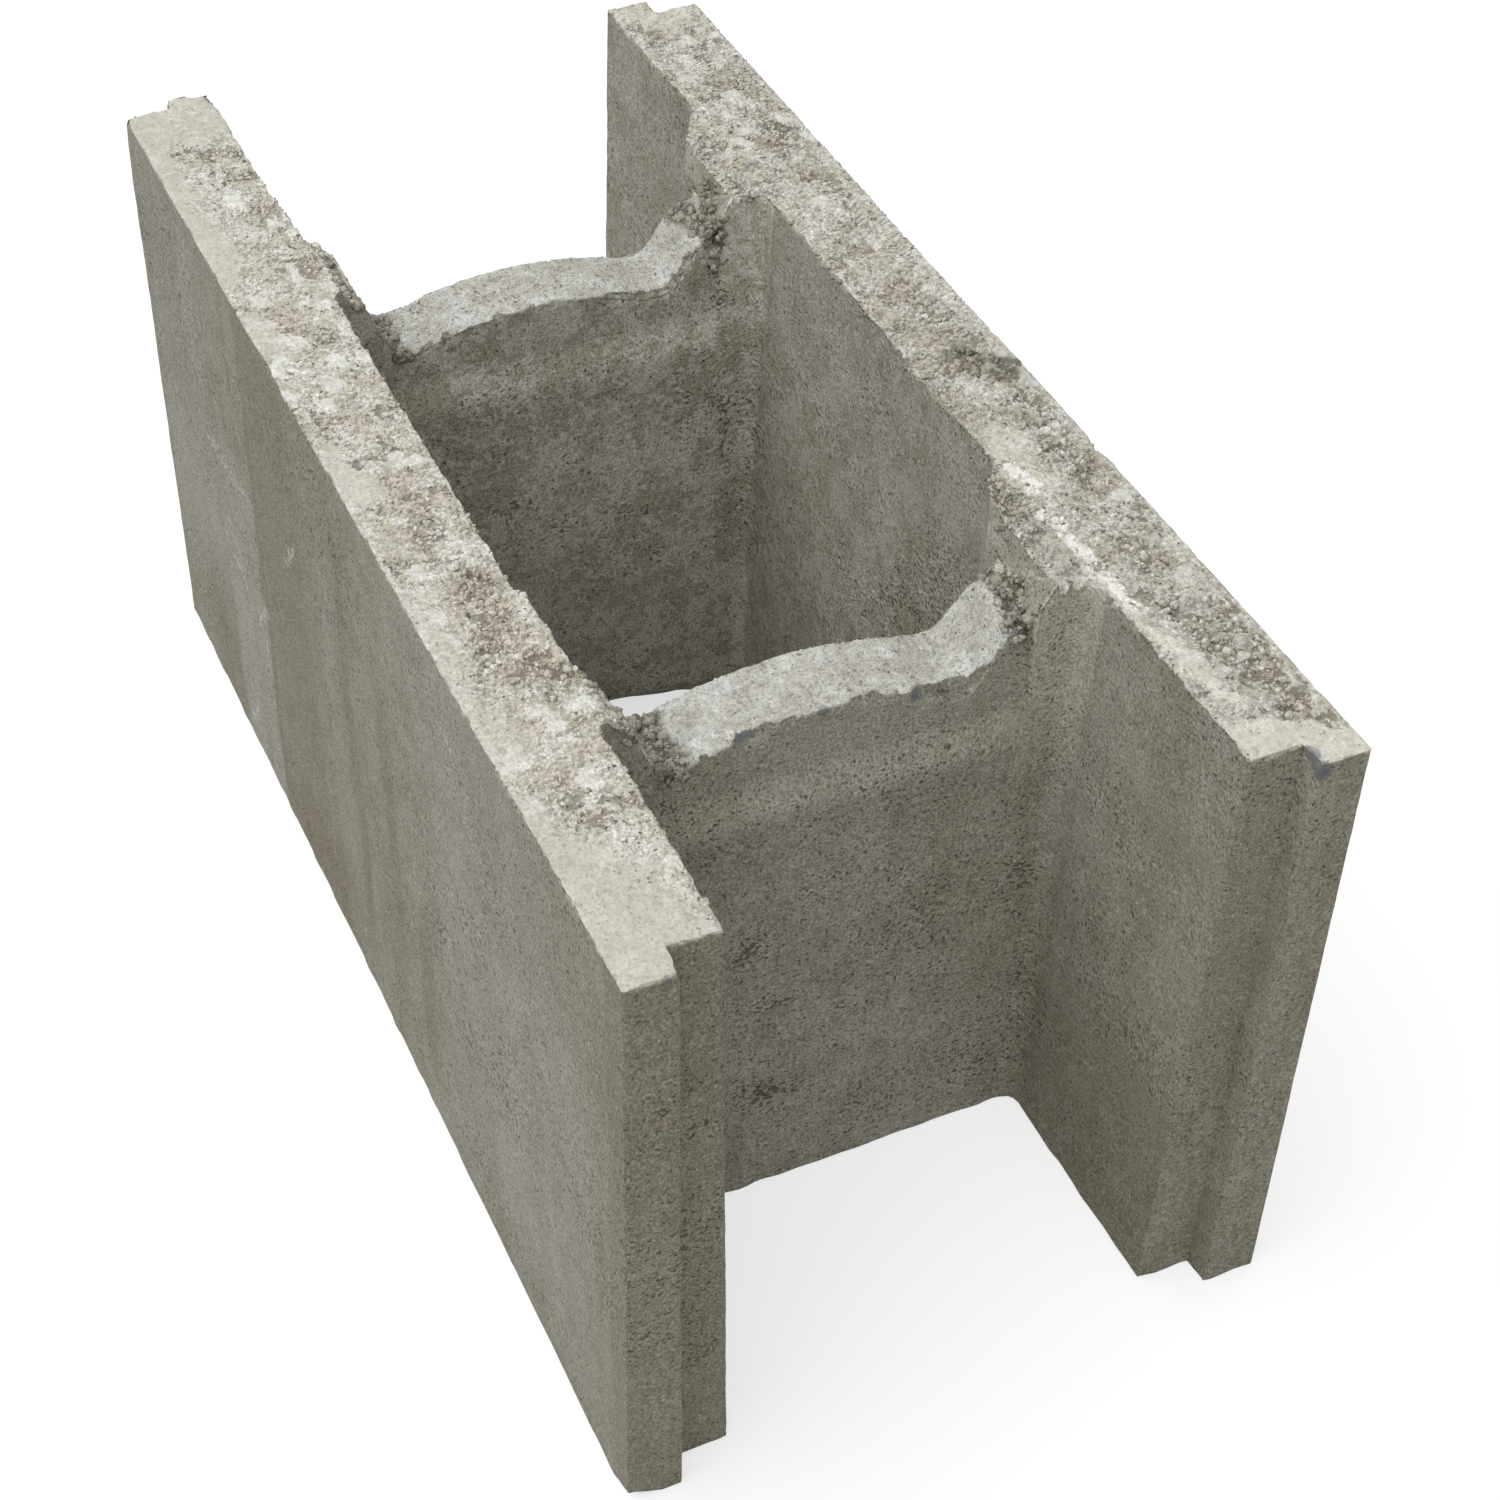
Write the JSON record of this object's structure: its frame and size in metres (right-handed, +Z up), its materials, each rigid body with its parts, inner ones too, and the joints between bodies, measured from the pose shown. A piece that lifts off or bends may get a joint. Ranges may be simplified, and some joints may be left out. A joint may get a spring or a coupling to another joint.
{
  "type": "shuttering block (hollow concrete formwork block)",
  "caption": "Hollow cast-concrete shuttering block: long walls joined by cross webs with sunken crowned tops, open cells right through, and stepped ends that interlock.",
  "frame": {"origin": "middle of the underside that the block stands on", "axes": "+X along the block, towards the end whose outer wall halves stand out; +Y across it; +Z up, towards the sunken web tops"},
  "size_m": [0.5, 0.24, 0.25],
  "materials": {
    "concrete": "rough, pitted dense concrete, unpainted"
  },
  "bodies": {
    "root": {"shuttering_block": "concrete"}
  },
  "joints": []
}
